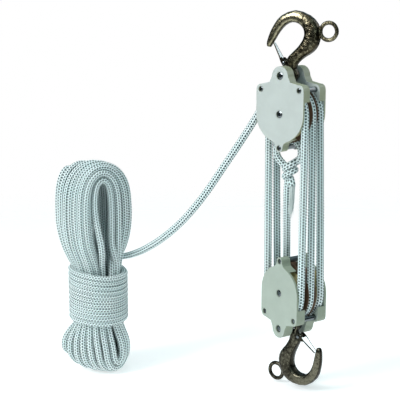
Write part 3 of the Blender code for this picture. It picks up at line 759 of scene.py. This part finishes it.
def free_rope():
    """Lead from the upper front sheave, the coil, and the lashing: one rope."""
    start = [on_sheave(UPPER, -SHEAVE_OFFSET, a)
             for a in np.linspace(LEAD_SPLIT, LEAD_OFF, 8)]
    lead = [*start, *(np.array(p) * MM for p in LEAD)]
    coil = resample(catmull(coil_turns(), 5.0), 5.0)
    coil = settle(coil, 110)
    coil = lean(soften(coil, 3))
    end = coil[-1]
    angle = math.atan2(end[1], end[0])
    join = [(25 * math.cos(angle - 0.15), 24 * math.sin(angle - 0.15), 133)]
    wrap = lashing(angle - 0.5)
    hank = hank_to_row(np.vstack([coil, join, wrap]))
    path = catmull([*lead, *hank], 0.0025)
    path = soften(resample(path, 0.002), 6)

    def radius(p):
        t = np.clip((-0.17 - p[:, 0]) / 0.02, 0, 1)
        return ROPE_R + (HANK_R - ROPE_R) * t

    def flat(p):
        """The lashing is pulled tight, so it lies flatter."""
        local = np.hypot(p[:, 0] - HANK.x, p[:, 1] - HANK.y) / MM
        h = (p[:, 2] - HANK.z) / MM
        outside = np.clip((local - 27.2) / 1.5, 0, 1)
        inside_h = (h > WAIST[0] - 8) & (h < WAIST[1] + 10)
        return 1 - 0.20 * outside * inside_h

    obj, centre = braid("rope_free", path, radius, MATERIALS["rope"], rings=3,
                        per_column=3, flat=flat)
    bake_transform(obj)
    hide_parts("rope_lead", "rope_hank")


# ------------------------------------------------------------- metal and nylon
def forged_hook(prefix):
    """The hook with a rounded forged surface in place of the CAD facets."""
    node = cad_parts[prefix + "_hook"]
    obj = link_object(prefix + "_hook_forging", node.data.copy())
    remesh = obj.modifiers.new("remesh", "REMESH")
    remesh.mode = "VOXEL"
    remesh.voxel_size = 0.5 * MM
    soft = obj.modifiers.new("smooth", "SMOOTH")
    soft.factor = 0.5
    soft.iterations = 22
    deps = bpy.context.evaluated_depsgraph_get()
    mesh = bpy.data.meshes.new_from_object(obj.evaluated_get(deps))
    obj.modifiers.clear()
    obj.data = mesh
    inverse = HOOKS[prefix].inverted()
    count = len(mesh.vertices)
    co = np.empty(count * 3, np.float32)
    no = np.empty(count * 3, np.float32)
    mesh.vertices.foreach_get("co", co)
    mesh.vertex_normals.foreach_get("vector", no)
    co, no = co.reshape(-1, 3), no.reshape(-1, 3)
    push = np.empty(count)
    for i, c in enumerate(co):
        q = inverse @ Vector(c)
        scaly = min(1.0, max(0.0, (q.x - BACK_LEAN * q.z - BACK_FROM) / BACK_OVER))
        push[i] = ((0.03 + 0.11 * scaly) * noise.noise(q * 340)
                   + (0.02 + 0.07 * scaly) * noise.noise(q * 800)
                   + 0.10 * noise.noise(q * 110))
    co += no * push[:, None].astype(np.float32) * MM
    mesh.vertices.foreach_set("co", co.ravel())
    mesh.materials.clear()
    mesh.materials.append(MATERIALS["bronze_" + prefix])
    mesh.shade_smooth()
    mesh.update()
    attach(obj, prefix + "_hook")
    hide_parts(prefix + "_hook")


def ease(obj, width, segments=2, angle=34):
    """Rounds the sharp edges of a carried-over node."""
    flat = obj.modifiers.new("flat", "DECIMATE")
    flat.decimate_type = "DISSOLVE"
    flat.angle_limit = math.radians(0.6)
    bevel = obj.modifiers.new("bevel", "BEVEL")
    bevel.width = width
    bevel.segments = segments
    bevel.limit_method = "ANGLE"
    bevel.angle_limit = math.radians(angle)
    bevel.harden_normals = True


def finish_nodes():
    for name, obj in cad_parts.items():
        if obj.hide_render:
            continue
        prefix = name.split("_")[0]
        if name.endswith("case"):
            mat = MATERIALS[prefix + "_case"]
            ease(obj, 0.6 * MM, 3)
        elif name.endswith("middle_sheave"):
            mat = MATERIALS["brown"]
            ease(obj, 0.4 * MM)
        elif name.endswith("sheave"):
            mat = MATERIALS["sheave"]
            ease(obj, 0.4 * MM)
        elif name.endswith("latch"):
            mat = MATERIALS["latch_" + prefix]
        elif name.endswith("spring"):
            mat = MATERIALS["spring"]
        else:
            mat = MATERIALS["steel"]
        obj.data.materials.clear()
        obj.data.materials.append(mat)


FIBRES, FIBRE_R = 70, 0.42
FRAY_AT = np.array([6.2, -3.6, -79.0])   # where the rope comes apart, in its block's mm
FRAY_R = 3.2


def frayed_end():
    """Loose fibres at the rope's end, below the knot."""
    rng = np.random.default_rng(7)
    verts, faces = [], []
    sides, n = 5, 10
    for _ in range(FIBRES):
        a, r = rng.uniform(0, TAU), FRAY_R * math.sqrt(rng.uniform(0, 1))
        start = FRAY_AT + np.array([r * math.cos(a), r * math.sin(a), 0])
        run = rng.uniform(16, 38)
        drift = np.array([-1.6 + rng.normal(0, 0.7), 0.8 + rng.normal(0, 0.7), 0])
        pull = rng.uniform(0.25, 0.6)
        phase, wave = rng.uniform(0, TAU), rng.uniform(0.3, 1.0)
        base = len(verts)
        for k in range(n + 1):
            t = k / n
            p = start + drift * t * t
            p[:2] -= (start[:2] - FRAY_AT[:2]) * pull * t
            p[0] += wave * math.sin(phase + 5 * t) * t
            p[1] += wave * math.cos(phase + 4 * t) * t
            p[2] = start[2] - run * t
            fine = FIBRE_R * (1 - 0.5 * t)
            for j in range(sides):
                b = TAU * j / sides
                q = Vector((p[0] + fine * math.cos(b), p[1] + fine * math.sin(b), p[2]))
                verts.append(UPPER @ (q * MM))
        for k in range(n):
            for j in range(sides):
                i, i2 = base + k * sides + j, base + k * sides + (j + 1) % sides
                faces.append((i, i2, i2 + sides, i + sides))
        faces.append(tuple(base + j for j in range(sides))[::-1])
        faces.append(tuple(base + n * sides + j for j in range(sides)))
    obj = add_mesh("becket_frayed_end", verts, faces, MATERIALS["fibre"], "upper_block")


# ------------------------------------------------------------------- studio
def floor():
    """White paper that fades into the white surroundings."""
    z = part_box("rope_hank")[0].z - 0.4 * MM
    mesh = bpy.data.meshes.new("floor")
    mesh.from_pydata([(x * FLOOR_HALF, y * FLOOR_HALF, z)
                      for x, y in ((-1, -1), (1, -1), (1, 1), (-1, 1))], [], [(0, 1, 2, 3)])
    obj = link_object("floor", mesh)
    m = Nodes("floor_paper")
    tone = m.noise(3.0, 2.0, 0.5)
    m.set(Base_Color=m.mix(tone, (0.91, 0.91, 0.91), (0.93, 0.93, 0.93)), Roughness=0.9,
          Specular_IOR_Level=0.1, Emission_Color=(1.0, 1.0, 1.0),
          Emission_Strength=WHITE_FLOOR)
    away = m.add("ShaderNodeVectorMath", operation="LENGTH")
    m.link(m.coords(), away.inputs[0])
    fade = m.smooth(away.outputs["Value"], *FLOOR_FADE)
    clear = m.add("ShaderNodeBsdfTransparent")
    mixer = m.add("ShaderNodeMixShader")
    m.link(fade, mixer.inputs[0])
    m.link(m.bsdf.outputs[0], mixer.inputs[1])
    m.link(clear.outputs[0], mixer.inputs[2])
    m.link(mixer.outputs[0], m.tree.nodes["Material Output"].inputs["Surface"])
    mesh.materials.append(m.mat)


def sky():
    """Soft light with a dark band for the metal to mirror, behind a plain white backdrop."""
    world = bpy.data.worlds.new("studio")
    bpy.context.scene.world = world
    world.use_nodes = True
    tree = world.node_tree
    nodes, link = tree.nodes, tree.links.new
    back = nodes["Background"]
    coords = nodes.new("ShaderNodeTexCoord")
    xyz = nodes.new("ShaderNodeSeparateXYZ")
    link(coords.outputs["Generated"], xyz.inputs[0])
    height = nodes.new("ShaderNodeMath")           # from -1..1 to 0..1
    height.operation = "MULTIPLY_ADD"
    height.inputs[1].default_value = 0.5
    height.inputs[2].default_value = 0.5
    link(xyz.outputs["Z"], height.inputs[0])
    ramp = nodes.new("ShaderNodeValToRGB")
    elements = ramp.color_ramp.elements
    while len(elements) < len(SKY):
        elements.new(0.5)
    for element, (position, rgb) in zip(elements, SKY):
        element.position = position
        element.color = (*rgb, 1.0)
    link(height.outputs[0], ramp.inputs["Fac"])
    link(ramp.outputs["Color"], back.inputs["Color"])
    back.inputs["Strength"].default_value = SKY_STRENGTH
    white = nodes.new("ShaderNodeBackground")
    white.inputs["Color"].default_value = (1, 1, 1, 1)
    white.inputs["Strength"].default_value = 1.0
    path = nodes.new("ShaderNodeLightPath")
    mixer = nodes.new("ShaderNodeMixShader")
    link(path.outputs["Is Camera Ray"], mixer.inputs[0])
    link(back.outputs[0], mixer.inputs[1])
    link(white.outputs[0], mixer.inputs[2])
    link(mixer.outputs[0], nodes["World Output"].inputs["Surface"])


def lamp(name, at, size, power, rgb):
    data = bpy.data.lights.new(name, "AREA")
    data.shape = "RECTANGLE"
    data.size, data.size_y = size
    data.energy = power
    data.color = rgb
    obj = link_object(name, data)
    obj.location = at
    obj.rotation_euler = (Vector(AIM) - Vector(at)).to_track_quat("-Z", "Y").to_euler()


# --------------------------------------------------------------------- main
camera()
make_materials()
reeved_rope()
frayed_end()
free_rope()
for side in HOOKS:
    forged_hook(side)
finish_nodes()
floor()
sky()
for values in LAMPS:
    lamp(*values)
bpy.context.scene.view_settings.view_transform = "Standard"
